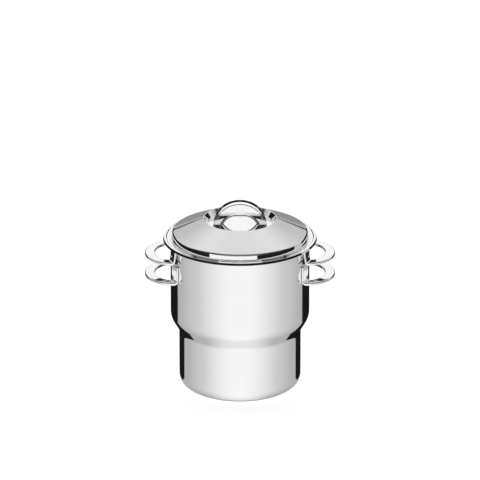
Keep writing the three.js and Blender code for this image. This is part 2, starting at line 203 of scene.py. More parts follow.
def pot_wall(inset, rim):
    """Profile of one face of the pot's sheet, from the axis to the rim."""
    bottom = base_height + inset
    bend = CORNER_RADIUS - inset
    step_start = STEP_BOTTOM + inset * math.tan(step_turn / 2)
    wall = rounded([
        (lower_radius - inset, CORNER_RADIUS + HOLD, 0),
        (lower_radius - inset, step_start, STEP_FOOT_FILLET + inset),
        (pot_radius - inset, step_start + STEP_RISE, STEP_FILLET - inset),
        *rim,
    ])
    corner = arc(corner_centre, bend, -math.asin((CORNER_RADIUS - bottom) / bend), 0)
    return [Vector((0, bottom)), *corner, *wall]


pot_outside = pot_wall(0, [
    (pot_radius, pot_height - BEAD_HEIGHT, bead_round / 2),
    (bead_radius, pot_height - BEAD_WIDTH, bead_round / 2),
    (bead_radius, pot_height, bead_round),
    (pot_radius - POT_SHEET + bead_round, pot_height, 0),
])
pot_inside = pot_wall(POT_SHEET, [(pot_radius - POT_SHEET, pot_height - bead_round, 0)])
add_piece(
    "pot_drawn_sheet", turned(pot_outside + pot_inside[::-1]), polished_sheet,
    "pot", "pot_body",
)

# Capsule base: a steel cap pressed on under the pot, round an aluminium disc that spreads the heat.
# The cap carries on the corner of the pot, with a fine seam line between the two.
CAP_SHEET = 0.6
cap_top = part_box("base_cap")[1].z / MM
cap_bend = CORNER_RADIUS - CAP_SHEET
cap_end = -math.asin((CORNER_RADIUS - cap_top) / CORNER_RADIUS)
cap_inner_end = -math.asin((CORNER_RADIUS - cap_top) / cap_bend)
cap_profile = [
    Vector((0, 0)),
    *arc(corner_centre, CORNER_RADIUS, -math.pi / 2, cap_end),
    *arc(corner_centre, cap_bend, cap_inner_end, -math.pi / 2),
    Vector((0, CAP_SHEET)),
]
add_piece("base_pressed_cap", turned(cap_profile), polished_sheet, "pot", "base_cap")

# Bare rolled aluminium: a dull light grey with fine rolling lines along one direction. The real lines are
# under 0.1 mm apart, drawn at 1.5 mm here so that they show.
ALUMINIUM_LIGHT = "#C9CCCF"
ALUMINIUM_DARK = "#B3B7BB"
ROLLING_LINE = 1.5 * MM
LINE_STRETCH = 20
ROLLED_ROUGHNESS = (0.35, 0.5)

rolled_aluminium, tree = new_finish("rolled_aluminium")
place = add_node(tree, "ShaderNodeTexCoord", {}).outputs["Object"]
drawn_out = add_node(tree, "ShaderNodeVectorMath", {
    0: place, 1: (1 / LINE_STRETCH, 1, 1),
}, operation="MULTIPLY")
lines = add_node(tree, "ShaderNodeTexNoise", {
    "Vector": drawn_out.outputs["Vector"], "Scale": 1 / ROLLING_LINE, "Detail": FINE_DETAIL,
})
colour = add_node(tree, "ShaderNodeMix", {
    "Factor": lines.outputs["Fac"], "A": linear(ALUMINIUM_LIGHT), "B": linear(ALUMINIUM_DARK),
}, data_type="RGBA")
gloss = add_node(tree, "ShaderNodeMapRange", {
    "Value": lines.outputs["Fac"], "To Min": ROLLED_ROUGHNESS[0], "To Max": ROLLED_ROUGHNESS[1],
})
metal = add_node(tree, "ShaderNodeBsdfPrincipled", {
    "Base Color": colour.outputs["Result"], "Metallic": 1, "Roughness": gloss.outputs["Result"],
})
add_node(tree, "ShaderNodeOutputMaterial", {"Surface": metal.outputs["BSDF"]})
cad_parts["base_core"].data.materials[0] = rolled_aluminium

# Pot handles: flat stainless bar bent into a loop, its two feet turned up into tabs that are welded to
# the wall. The edges are rounded and the whole bar is tumbled to a mirror.
LOOP_THICKNESS = 4.5
LOOP_BAND = 14.6
LOOP_BAND_AT_FOOT = 13.5
LOOP_INSET = 5.4
EDGE_WIDTH = 1.8
EDGE_DEPTH = 1.4
EDGE_STEPS = 6
EDGE_HOLD = 0.06
TAB_THICKNESS = 2.6
TAB_EDGE = 1.2
TAB_EDGE_STEPS = 4
TAB_TWIST = 0.1
FOOT_BEND = 4.5
FOOT_STEPS = 8
LOOP_STEPS = 72
INNER_LOOP_END = math.radians(76)
OUTER_LOOP_END = math.radians(88)
SEAT_GAP = 0.3


def bar_section(width, thickness, edge):
    """Section of a flat bar with rounded edges: (across, through) points in mm round its middle."""
    depth = min(EDGE_DEPTH, edge, thickness / 2 - HOLD)
    points = []
    for quadrant, (across, through) in enumerate([(1, 1), (-1, 1), (-1, -1), (1, -1)]):
        middle = Vector((across * (width / 2 - edge), through * (thickness / 2 - depth)))
        for step in range(EDGE_STEPS + 1):
            angle = (quadrant + step / EDGE_STEPS) * math.pi / 2
            points.append(middle + Vector((edge * math.cos(angle), depth * math.sin(angle))))
    held = []
    for index, point in enumerate(points):
        held.append(point)
        if index % (EDGE_STEPS + 1) == EDGE_STEPS:
            following = points[(index + 1) % len(points)]
            held.append(point.lerp(following, EDGE_HOLD))
            held.append(following.lerp(point, EDGE_HOLD))
    return held


def skinned(rings):
    """Solid whose faces join each ring of points in mm to the next, with a cap at both ends."""
    shape = bmesh.new()
    loops = [[shape.verts.new(point * MM) for point in ring] for ring in rings]
    for loop, other in zip(loops, loops[1:]):
        for index in range(len(loop)):
            shape.faces.new((loop[index - 1], loop[index], other[index], other[index - 1]))
    shape.faces.new(loops[0])
    shape.faces.new(loops[-1])
    return shape


def bar_ring(inner, outer, through, thickness, edge, inset=0):
    """Ring of points round the bar between its inner and outer edge, drawn in by inset."""
    across = (outer - inner).normalized()
    middle = (inner + outer) / 2
    width = (outer - inner).length - 2 * inset
    section = bar_section(width, thickness - 2 * inset, edge)
    return [middle + across * point.x + through * point.y for point in section]


def side_loop(node, wall_radius, turn, lean, twist):
    """A handle on the +X side of a round wall, then turned about the Z axis. Its tabs lean out from the wall
    towards the loop, and twist to face away from each other."""
    low, high = [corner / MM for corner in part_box(node)]
    loop_middle = low.z + LOOP_THICKNESS / 2
    centre = pot_radius - LOOP_INSET
    outer_reach = max(abs(low.x), high.x) - centre
    outer_half = high.y
    inner_reach = outer_reach - LOOP_BAND
    inner_half = outer_half - LOOP_BAND_AT_FOOT

    def on_ellipse(reach, half, angle):
        return Vector((centre + reach * math.cos(angle), half * math.sin(angle), loop_middle))

    def on_loop(share):
        inner = on_ellipse(inner_reach, inner_half, share * INNER_LOOP_END)
        outer = on_ellipse(outer_reach, outer_half, share * OUTER_LOOP_END)
        return inner, outer

    inner_end, outer_end = on_loop(1)
    upward = Vector((0, 0, 1))

    def tab_edges(stand_off, height):
        inner_radius = wall_radius + stand_off + twist * (outer_end.y - inner_end.y)
        inner = Vector((math.sqrt(inner_radius ** 2 - inner_end.y ** 2), inner_end.y, height))
        outer = Vector((math.sqrt((wall_radius + stand_off) ** 2 - outer_end.y ** 2), outer_end.y, height))
        facing = (outer - inner).cross(upward).normalized()
        return inner, outer, facing

    tab_middle = TAB_THICKNESS / 2
    foot = []
    for step in range(TAB_EDGE_STEPS + 1):
        angle = math.pi / 2 * (1 - step / TAB_EDGE_STEPS)
        top = high.z - TAB_EDGE * (1 - math.sin(angle))
        inset = TAB_EDGE * (1 - math.cos(angle))
        foot.append(bar_ring(*tab_edges(tab_middle, top), TAB_THICKNESS, TAB_EDGE, inset))
    bend_top = loop_middle + FOOT_BEND
    bend_start = tab_middle + lean * (high.z - bend_top)
    for level in (high.z - TAB_EDGE - HOLD, bend_top + HOLD):
        inner, outer, facing = tab_edges(tab_middle + lean * (high.z - level), level)
        through = (facing + upward * lean).normalized()
        foot.append(bar_ring(inner, outer, through, TAB_THICKNESS, TAB_EDGE))
    for step in range(FOOT_STEPS + 1):
        share = step / FOOT_STEPS
        angle = math.pi / 2 * share
        stand_off = bend_start + FOOT_BEND * (1 - math.cos(angle))
        inner, outer, facing = tab_edges(stand_off, bend_top - FOOT_BEND * math.sin(angle))
        through = facing * math.cos(angle) + upward * math.sin(angle)
        thickness = TAB_THICKNESS + (LOOP_THICKNESS - TAB_THICKNESS) * share
        edge_round = TAB_EDGE + (EDGE_WIDTH - TAB_EDGE) * share
        foot.append(bar_ring(inner, outer, through, thickness, edge_round))
    shares = [1 - 2 * step / LOOP_STEPS for step in range(LOOP_STEPS + 1)]
    loop = [bar_ring(*on_loop(share), upward, LOOP_THICKNESS, EDGE_WIDTH) for share in shares]
    other_foot = [[Vector((x, -y, z)) for x, y, z in ring] for ring in reversed(foot)]
    spin = Matrix.Rotation(turn, 3, "Z")
    return skinned([[spin @ point for point in ring] for ring in foot + loop + other_foot])


# Polished handle steel: tumbled in a barrel and buffed by hand, so the eye sees clean reflections whose
# gloss wavers in small soft spots.
HANDLE_BRIGHT = "#F8F8F7"
HANDLE_CLOUD = "#F0F1F2"
TUMBLE_SPOT = 6 * MM
TUMBLED_ROUGHNESS = (0.04, 0.08)
SPOT_STRENGTH = 0.02
SPOT_RELIEF = 0.05 * MM

polished_bar, tree = new_finish("tumble_polished_stainless_bar")
place = add_node(tree, "ShaderNodeTexCoord", {}).outputs["Object"]
spots = add_node(tree, "ShaderNodeTexNoise", {
    "Vector": place, "Scale": 1 / TUMBLE_SPOT, "Detail": FINE_DETAIL,
})
colour = add_node(tree, "ShaderNodeMix", {
    "Factor": spots.outputs["Fac"], "A": linear(HANDLE_BRIGHT), "B": linear(HANDLE_CLOUD),
}, data_type="RGBA")
gloss = add_node(tree, "ShaderNodeMapRange", {
    "Value": spots.outputs["Fac"], "To Min": TUMBLED_ROUGHNESS[0], "To Max": TUMBLED_ROUGHNESS[1],
})
relief = add_node(tree, "ShaderNodeBump", {
    "Height": spots.outputs["Fac"], "Strength": SPOT_STRENGTH, "Distance": SPOT_RELIEF,
})
bar = add_node(tree, "ShaderNodeBsdfPrincipled", {
    "Base Color": colour.outputs["Result"], "Metallic": 1, "Roughness": gloss.outputs["Result"],
    "Normal": relief.outputs["Normal"],
})
add_node(tree, "ShaderNodeOutputMaterial", {"Surface": bar.outputs["BSDF"]})

for side, turn in (("right", 0), ("left", math.pi)):
    node = f"pot_handle_{side}"
    loop = side_loop(node, pot_radius + SEAT_GAP, turn, lean=0, twist=TAB_TWIST)
    add_piece(f"pot_loop_{side}", loop, polished_bar, "pot", node)

# Steamer vessel: a drawn sheet with a ledge inside its foot for the perforated floor. The top is turned
# out into a wide lip that hangs on the bead of the pot. The lip's edge is pressed up into a flat bead and
# folded down outside it, flaring a little.
STEAMER_SHEET = 0.7
STEAMER_FIT = 0.6
STEAMER_FILLET = 4
LEDGE_WIDTH = 6
LIP_FILLET = 1.6
LIP_DROP = 2.3
LIP_FLARE = 1.17
LIP_EDGE_FILLET = 0.2
LIP_BEAD_RISE = 1
LIP_BEAD_WIDTH = 4.3
LIP_BEAD_FLANK = 1.2
steamer_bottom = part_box("steamer_body")[0].z / MM
lip_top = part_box("steamer_body")[1].z / MM
lip_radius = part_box("steamer_body")[1].x / MM
lip_under = lip_top - STEAMER_SHEET
lip_bottom = lip_top - LIP_DROP
lip_bead_top = lip_top + LIP_BEAD_RISE
ledge_top = steamer_bottom + STEAMER_SHEET
steamer_radius = pot_radius - POT_SHEET - STEAMER_FIT
steamer_inner = steamer_radius - STEAMER_SHEET
ledge_radius = steamer_inner - LEDGE_WIDTH
steamer_profile = rounded([
    (ledge_radius, ledge_top, 0),
    (ledge_radius, steamer_bottom, 0),
    (steamer_radius, steamer_bottom, STEAMER_FILLET),
    (steamer_radius, lip_under, LIP_FILLET),
    (lip_radius - LIP_FLARE - STEAMER_SHEET, lip_under, LIP_EDGE_FILLET),
    (lip_radius - STEAMER_SHEET, lip_bottom, 0),
    (lip_radius, lip_bottom, 0),
    (lip_radius - LIP_FLARE, lip_bead_top, LIP_EDGE_FILLET),
    (lip_radius - LIP_BEAD_WIDTH, lip_bead_top, LIP_EDGE_FILLET),
    (lip_radius - LIP_BEAD_WIDTH - LIP_BEAD_FLANK, lip_top, LIP_EDGE_FILLET),
    (steamer_inner, lip_top, LIP_FILLET + STEAMER_SHEET),
    (steamer_inner, ledge_top, STEAMER_FILLET - STEAMER_SHEET),
])
add_piece(
    "steamer_drawn_sheet", turned(steamer_profile), polished_sheet,
    "steamer", "steamer_body",
)

# Steamer floor: a stainless disc punched with round holes in a triangular pattern, welded to the ledge.
# The punched sheet keeps its satin mill finish.
HOLE_DIAMETER = 5
HOLE_PITCH = 15
HOLE_RINGS = 5
HOLE_SIDES = 24
PUNCHED_EDGE = 0.1
MERGE_DISTANCE = 0.001
grid_low, grid_high = [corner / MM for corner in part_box("steamer_grid")]
grid_sheet = grid_high.z - grid_low.z
grid_curve = bpy.data.curves.new("steamer_floor_outline", "CURVE")
grid_curve.dimensions = "2D"
grid_curve.fill_mode = "BOTH"
grid_curve.extrude = (grid_sheet / 2 - PUNCHED_EDGE) * MM
grid_curve.bevel_depth = PUNCHED_EDGE * MM
grid_curve.offset = -PUNCHED_EDGE * MM


def add_circle(curve, x, y, radius, sides):
    """Adds a closed round outline to a flat curve, in mm."""
    outline = curve.splines.new("POLY")
    outline.points.add(sides - 1)
    outline.use_cyclic_u = True
    for index, point in enumerate(outline.points):
        angle = 2 * math.pi * index / sides
        point.co = ((x + radius * math.cos(angle)) * MM, (y + radius * math.sin(angle)) * MM, 0, 1)


add_circle(grid_curve, 0, 0, grid_high.x, TURN_STEPS)
for row in range(-HOLE_RINGS, HOLE_RINGS + 1):
    holes = 2 * HOLE_RINGS + 1 - abs(row)
    for place in range(holes):
        hole_x = (place - (holes - 1) / 2) * HOLE_PITCH
        hole_y = row * HOLE_PITCH * math.sqrt(3) / 2
        add_circle(grid_curve, hole_x, hole_y, HOLE_DIAMETER / 2, HOLE_SIDES)
grid_outline = bpy.data.objects.new("steamer_floor_outline", grid_curve)
bpy.context.collection.objects.link(grid_outline)
punched = grid_outline.evaluated_get(bpy.context.evaluated_depsgraph_get()).to_mesh()
grid_shape = bmesh.new()
grid_shape.from_mesh(punched)
bmesh.ops.remove_doubles(grid_shape, verts=grid_shape.verts, dist=MERGE_DISTANCE * MM)
bmesh.ops.translate(grid_shape, verts=grid_shape.verts, vec=(0, 0, (grid_low.z + grid_sheet / 2) * MM))
bpy.data.objects.remove(grid_outline)

# Satin stainless sheet: mill-rolled, with short fine lines all one way that scatter the reflections. The
# real lines are under 0.1 mm apart, drawn at 1.2 mm here so that they show.
SATIN_LIGHT = "#D6D8DA"
SATIN_DARK = "#C3C6C9"
MILL_LINE = 1.2 * MM
SATIN_ROUGHNESS = (0.25, 0.4)
LINE_STRENGTH = 0.1
LINE_RELIEF = 0.05 * MM

satin_sheet, tree = new_finish("satin_stainless_sheet")
place = add_node(tree, "ShaderNodeTexCoord", {}).outputs["Object"]
drawn_out = add_node(tree, "ShaderNodeVectorMath", {
    0: place, 1: (1, 1 / LINE_STRETCH, 1),
}, operation="MULTIPLY")
lines = add_node(tree, "ShaderNodeTexNoise", {
    "Vector": drawn_out.outputs["Vector"], "Scale": 1 / MILL_LINE, "Detail": FINE_DETAIL,
})
colour = add_node(tree, "ShaderNodeMix", {
    "Factor": lines.outputs["Fac"], "A": linear(SATIN_LIGHT), "B": linear(SATIN_DARK),
}, data_type="RGBA")
gloss = add_node(tree, "ShaderNodeMapRange", {
    "Value": lines.outputs["Fac"], "To Min": SATIN_ROUGHNESS[0], "To Max": SATIN_ROUGHNESS[1],
})
relief = add_node(tree, "ShaderNodeBump", {
    "Height": lines.outputs["Fac"], "Strength": LINE_STRENGTH, "Distance": LINE_RELIEF,
})
metal = add_node(tree, "ShaderNodeBsdfPrincipled", {
    "Base Color": colour.outputs["Result"], "Metallic": 1, "Roughness": gloss.outputs["Result"],
    "Normal": relief.outputs["Normal"],
})
add_node(tree, "ShaderNodeOutputMaterial", {"Surface": metal.outputs["BSDF"]})
add_piece("steamer_punched_floor", grid_shape, satin_sheet, "steamer", "steamer_grid")

# Steamer handles: the same bent bar as on the pot, with tabs that reach up to the underside of the lip.
# They hang from the lip, clear of the bead, so that they come away with the steamer.
LIFT_CLEARANCE = 0.6
TAB_LEAN = 0.11
for side, turn in (("right", 0), ("left", math.pi)):
    node = f"steamer_handle_{side}"
    loop = side_loop(node, bead_radius + LIFT_CLEARANCE, turn, lean=TAB_LEAN, twist=0)
    add_piece(f"steamer_loop_{side}", loop, polished_bar, "steamer", node)

# Lid: one pressed sheet. A plug drops into the steamer, a folded collar rests on its lip, and a short
# skirt carries the cone, whose centre is sunk for the handle to stand in.
LID_SHEET = 0.7
LID_FIT = 0.5
COLLAR_GAP = 0.1
COLLAR_THICKNESS = 0.5
COLLAR_WIDTH = 2.6
COLLAR_ROUND = 0.2
SKIRT_FLARE = 1.2
SKIRT_HEIGHT = 8.4
SKIRT_LEAN = 1.1
SKIRT_FOOT_FILLET = 0.25
SKIRT_FILLET = 4
LID_RISE = 20.4
RECESS_RADIUS = 52.6
RECESS_FLOOR_RADIUS = 46.7
RECESS_DEPTH = 9
RECESS_EDGE_FILLET = 0.9
RECESS_FILLET = 2.5
plug_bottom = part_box("lid_shell")[0].z / MM
lid_radius = steamer_inner - LID_FIT
lid_inner = lid_radius - LID_SHEET
skirt_radius = lid_radius + SKIRT_FLARE
collar_radius = skirt_radius + COLLAR_WIDTH
collar_bottom = lip_top + COLLAR_GAP
collar_top = collar_bottom + COLLAR_THICKNESS
skirt_top = collar_top + SKIRT_HEIGHT
skirt_top_radius = skirt_radius - SKIRT_LEAN
recess_edge = skirt_top + LID_RISE
recess_floor = recess_edge - RECESS_DEPTH
cone_turn = math.atan(LID_RISE / (skirt_top_radius - RECESS_RADIUS))
recess_turn = math.atan(RECESS_DEPTH / (RECESS_RADIUS - RECESS_FLOOR_RADIUS))
edge_reach = LID_SHEET / math.cos((cone_turn + recess_turn) / 2)
edge_lean = (recess_turn - cone_turn) / 2
skirt_shift = LID_SHEET * math.tan((math.pi / 2 - cone_turn) / 2)
floor_shift = LID_SHEET * math.tan(recess_turn / 2)
lid_profile = rounded([
    (0, recess_floor - LID_SHEET, 0),
    (RECESS_FLOOR_RADIUS + floor_shift, recess_floor - LID_SHEET, RECESS_FILLET + LID_SHEET),
    (
        RECESS_RADIUS + edge_reach * math.sin(edge_lean),
        recess_edge - edge_reach * math.cos(edge_lean),
        RECESS_EDGE_FILLET - LID_SHEET,
    ),
    (skirt_top_radius - LID_SHEET, skirt_top - skirt_shift, SKIRT_FILLET - LID_SHEET),
    (lid_inner, collar_top, 0),
    (lid_inner, plug_bottom, 0),
    (lid_radius, plug_bottom, 0),
    (lid_radius, collar_bottom, 0),
    (collar_radius, collar_bottom, COLLAR_ROUND),
    (collar_radius, collar_top, COLLAR_ROUND),
    (skirt_radius, collar_top, SKIRT_FOOT_FILLET),
    (skirt_top_radius, skirt_top, SKIRT_FILLET),
    (RECESS_RADIUS, recess_edge, RECESS_EDGE_FILLET),
    (RECESS_FLOOR_RADIUS, recess_floor, RECESS_FILLET),
    (0, recess_floor, 0),
])
add_piece("lid_pressed_sheet", turned(lid_profile), polished_sheet, "lid", "lid_shell")

# Lid handle: a cast stainless arch with a low finger opening. A fine groove parts its leaning faces from the
# rim round the opening, which sinks towards the feet. The crown is stepped and ground to a bevel that fades
# at the feet. A lean is depth per height, and the groove's slope is length per depth.
ARCH_RADIUS = 38.9
BEVEL_RADIUS = 22
BEVEL_START = math.radians(43)
BEVEL_END = math.radians(52)
BEVEL_STEPS = 6
BEVEL_TIP_HEIGHT = 10
BEVEL_FULL_HEIGHT = 15
LEAST_BEVEL = 0.02
CROWN_STEP = 0.8
CROWN_WIDTH_AT_TOP = 6.6
CROWN_WIDTH_AT_FOOT = 1.5
FACE_LEAN = 0.035
HOLLOW_LEAN = 0.05
HOLLOW_HEIGHT = 8
FOOT_LEAN = 0.026
FACE_STEPS = 8
OPENING_HALF_WIDTH = 24.5
OPENING_HEIGHT = 14.4
RIM_WIDTH = 3.2
RIM_EDGE = 0.4
RIM_EDGE_STEPS = 4
RIM_DRAFT = 0.15
FOOT_RIM = 0.7
RIM_SINK = 0.28
GROOVE_WIDTH = 1
GROOVE_SLOPE = 19
SUNK_STEPS = 12
ARCH_STEPS = 120
arch_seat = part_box("lid_handle")[0].z / MM
arch_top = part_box("lid_handle")[1].z / MM
arch_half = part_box("lid_handle")[1].y / MM
arch_centre = arch_top - ARCH_RADIUS
opening_radius = (OPENING_HALF_WIDTH ** 2 + OPENING_HEIGHT ** 2) / (2 * OPENING_HEIGHT)
opening_centre = arch_seat + OPENING_HEIGHT - opening_radius
groove_centre = Vector((0, 0, opening_centre))
groove_radius = opening_radius + RIM_WIDTH + GROOVE_WIDTH


def crown_points(height):
    """Crown of the arch where its edge is at a height: (distance from the edge, depth lost) points."""
    upright = (height - arch_centre) / ARCH_RADIUS
    grown = (height - arch_seat - BEVEL_TIP_HEIGHT) / (BEVEL_FULL_HEIGHT - BEVEL_TIP_HEIGHT)
    bevel = BEVEL_RADIUS * min(1, max(LEAST_BEVEL, grown))
    width = CROWN_WIDTH_AT_FOOT + (CROWN_WIDTH_AT_TOP - CROWN_WIDTH_AT_FOOT) * upright
    points = [(width, 0), (width - CROWN_STEP, CROWN_STEP)]
    for step in range(BEVEL_STEPS + 1):
        turn = BEVEL_START + (BEVEL_END - BEVEL_START) * step / BEVEL_STEPS
        distance = bevel * (math.sin(BEVEL_END) - math.sin(turn))
        points.append((distance, CROWN_STEP + bevel * (math.cos(BEVEL_START) - math.cos(turn))))
    return points


def arch_ring(share, level, sunk):
    """Ring round the arch at a share of the way from its right foot to its left one, both at a level."""

    def on_circle(centre, radius):
        start = math.asin((level - centre) / radius)
        angle = start + share * (math.pi - 2 * start)
        return Vector((radius * math.cos(angle), 0, centre + radius * math.sin(angle)))

    inner = on_circle(opening_centre, opening_radius)
    rim = on_circle(opening_centre, opening_radius + RIM_WIDTH)
    outer = on_circle(arch_centre, ARCH_RADIUS)
    outward = (rim - inner).normalized()
    across = (outer - rim).normalized()
    crown = crown_points(outer.z)
    face_width = (outer - rim).length - crown[0][0]
    rim_sink = RIM_SINK * outward.x ** 2
    fall = (rim - groove_centre).dot(across)
    reach = math.sqrt(fall ** 2 + groove_radius ** 2 - (rim - groove_centre).length_squared) - fall
    sunk_width = min(reach, face_width - RIM_DRAFT)

    def lean_depth(point):
        rise = point.z - arch_seat - OPENING_HEIGHT
        if rise < 0:
            return -FOOT_LEAN * rise
        return FACE_LEAN * rise + HOLLOW_LEAN * min(rise, HOLLOW_HEIGHT)

    def sunk_depth(point):
        groove = max(0, groove_radius - (point - groove_centre).length) / GROOVE_SLOPE if sunk else 0
        return groove + lean_depth(point)

    front = []
    for step in range(RIM_EDGE_STEPS + 1):
        turn = math.pi / 2 * step / RIM_EDGE_STEPS
        point = inner + outward * RIM_EDGE * (1 - math.cos(turn))
        edge_depth = rim_sink + lean_depth(point) + RIM_EDGE * (1 - math.sin(turn))
        front.append(point - Vector((0, arch_half - edge_depth, 0)))
    front.append(rim - Vector((0, arch_half - lean_depth(rim), 0)))
    sunk_reach = sunk_width - RIM_DRAFT
    sunk_places = [RIM_DRAFT + sunk_reach * step / SUNK_STEPS for step in range(SUNK_STEPS + 1)]
    held_width = min(HOLD, (face_width - sunk_width) / 3)
    plain_width = face_width - sunk_width - 2 * held_width
    plain_start = sunk_width + held_width
    face_places = [plain_start + plain_width * step / FACE_STEPS for step in range(FACE_STEPS + 1)]
    for distance in sunk_places + face_places:
        point = rim + across * distance
        front.append(point - Vector((0, arch_half - sunk_depth(point), 0)))
    for distance, loss in crown:
        point = outer - across * distance
        lost = max(loss + lean_depth(point), sunk_depth(point))
        front.append(point - Vector((0, arch_half - lost, 0)))
    back = [Vector((x, -y, z)) for x, y, z in reversed(front)]
    return front + back


foot_top = arch_seat + FOOT_RIM
arch_rings = [arch_ring(0, arch_seat, False), arch_ring(0, foot_top, False)]
arch_rings += [arch_ring(step / ARCH_STEPS, foot_top + RIM_DRAFT, True) for step in range(ARCH_STEPS + 1)]
arch_rings += [arch_ring(1, foot_top, False), arch_ring(1, arch_seat, False)]
add_piece("lid_cast_arch", skinned(arch_rings), polished_bar, "lid", "lid_handle")

# Handle screws and washers: pan heads that pull the feet of the arch down onto the lid, with a plain washer
# under each head. They are turned from stainless rod and left as they come off the tool.
SCREW_RADIUS = 1.8
SCREW_HEAD_RADIUS = 3.6
SCREW_HEAD_HEIGHT = 2.2
SCREW_HEAD_ROUND = 1.1
WASHER_EDGE = 0.15
SCREW_STEPS = 64

# Turned stainless: small marks from the tool that dull the surface, greyer than the polished sheet. The real
# marks are about 0.1 mm apart, drawn at 0.8 mm here so that they show.
TURNED_LIGHT = "#CFD1D3"
TURNED_DARK = "#B9BCBF"
TOOL_MARK = 0.8 * MM
TURNED_ROUGHNESS = (0.2, 0.35)

turned_steel, tree = new_finish("turned_stainless_rod")
place = add_node(tree, "ShaderNodeTexCoord", {}).outputs["Object"]
marks = add_node(tree, "ShaderNodeTexNoise", {
    "Vector": place, "Scale": 1 / TOOL_MARK, "Detail": FINE_DETAIL,
})
colour = add_node(tree, "ShaderNodeMix", {
    "Factor": marks.outputs["Fac"], "A": linear(TURNED_LIGHT), "B": linear(TURNED_DARK),
}, data_type="RGBA")
gloss = add_node(tree, "ShaderNodeMapRange", {
    "Value": marks.outputs["Fac"], "To Min": TURNED_ROUGHNESS[0], "To Max": TURNED_ROUGHNESS[1],
})
metal = add_node(tree, "ShaderNodeBsdfPrincipled", {
    "Base Color": colour.outputs["Result"], "Metallic": 1, "Roughness": gloss.outputs["Result"],
})
add_node(tree, "ShaderNodeOutputMaterial", {"Surface": metal.outputs["BSDF"]})

for side in ("right", "left"):
    low, high = [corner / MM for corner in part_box(f"lid_washer_{side}")]
    screw_x = (low.x + high.x) / 2
    washer_radius = high.y
    washer = turned(rounded([
        (SCREW_RADIUS + SEAT_GAP, low.z, 0),
        (washer_radius, low.z, WASHER_EDGE),
        (washer_radius, high.z, WASHER_EDGE),
        (SCREW_RADIUS + SEAT_GAP, high.z, 0),
    ]), SCREW_STEPS)
    bmesh.ops.translate(washer, verts=washer.verts, vec=(screw_x * MM, 0, 0))
    add_piece(f"lid_turned_washer_{side}", washer, turned_steel, "lid", f"lid_washer_{side}")

    low, high = [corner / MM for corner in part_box(f"lid_screw_{side}")]
    head_top = low.z + SCREW_HEAD_HEIGHT
    screw = turned(rounded([
        (0, low.z, 0),
        (SCREW_HEAD_RADIUS, low.z, SCREW_HEAD_ROUND),
        (SCREW_HEAD_RADIUS, head_top, 0),
        (SCREW_RADIUS, head_top, 0),
        (SCREW_RADIUS, high.z, 0),
        (0, high.z, 0),
    ]), SCREW_STEPS)
    bmesh.ops.translate(screw, verts=screw.verts, vec=(screw_x * MM, 0, 0))
    add_piece(f"lid_slotted_screw_{side}", screw, turned_steel, "lid", f"lid_screw_{side}")

# Floor: a plain white paper sweep. The camera sees it as white with the faint shadow of the pot on it, and
# the steel mirrors the graded ground of the studio in its place.
FLOOR_REACH = 12
FLOOR_GLOW = 0.82
FLOOR_WHITE = "#E8E8E8"
PLAIN_WHITE = "#FFFFFF"
floor_mesh = bpy.data.meshes.new("studio_floor")
floor_signs = ((-1, -1), (1, -1), (1, 1), (-1, 1))
floor_corners = [(x * FLOOR_REACH, y * FLOOR_REACH, 0) for x, y in floor_signs]
floor_mesh.from_pydata(floor_corners, [], [(0, 1, 2, 3)])
white_sweep, tree = new_finish("white_paper_sweep")
glow = add_node(tree, "ShaderNodeEmission", {"Color": linear(PLAIN_WHITE), "Strength": FLOOR_GLOW})
paper = add_node(tree, "ShaderNodeBsdfDiffuse", {"Color": linear(FLOOR_WHITE)})
both = add_node(tree, "ShaderNodeAddShader", {0: glow.outputs[0], 1: paper.outputs[0]})
add_node(tree, "ShaderNodeOutputMaterial", {"Surface": both.outputs[0]})
floor_mesh.materials.append(white_sweep)
floor = bpy.data.objects.new("studio_floor", floor_mesh)
bpy.context.collection.objects.link(floor)
floor.visible_glossy = False

# Studio: pale ground that darkens from the camera towards the back, a dark room above it in front and a
# grey wall behind that pales up to the ceiling. The polished steel mirrors it, and the camera sees plain
# white. Ground tones go by the share of the way back, the others by elevation in degrees.
GROUND_TONES = [(0, 1.02), (0.106, 0.91), (0.337, 0.68), (0.72, 0.49), (1, 0.45)]
FRONT_TONES = [(60, 0.012), (70, 0.12), (85, 0.25), (90, 0.28)]
BACK_TONES = [
    (-20, 0.5), (-16, 0.3), (6, 0.3), (10, 0.56), (27, 0.58), (42, 0.7), (52, 0.81), (60, 0.81), (66, 0.78),
    (76, 0.76), (86, 0.28),
]
UNDERFOOT_WHITE = "#EFEFEF"
UNDERFOOT_END = -80
GROUND_START = -62
GROUND_END = -14
ROOM_START = -13
# Where the dark room gives way to the wall, from -1 towards the camera to 1 towards the back.
FRONT_END = -0.05
BACK_START = 0.2
studio = bpy.data.worlds.new("studio")
bpy.context.scene.world = studio
studio.use_nodes = True
tree = studio.node_tree
tree.nodes.clear()


def height_share(angle):
    """Share of the way from straight down to straight up of an elevation in degrees."""
    return angle / 180 + 0.5


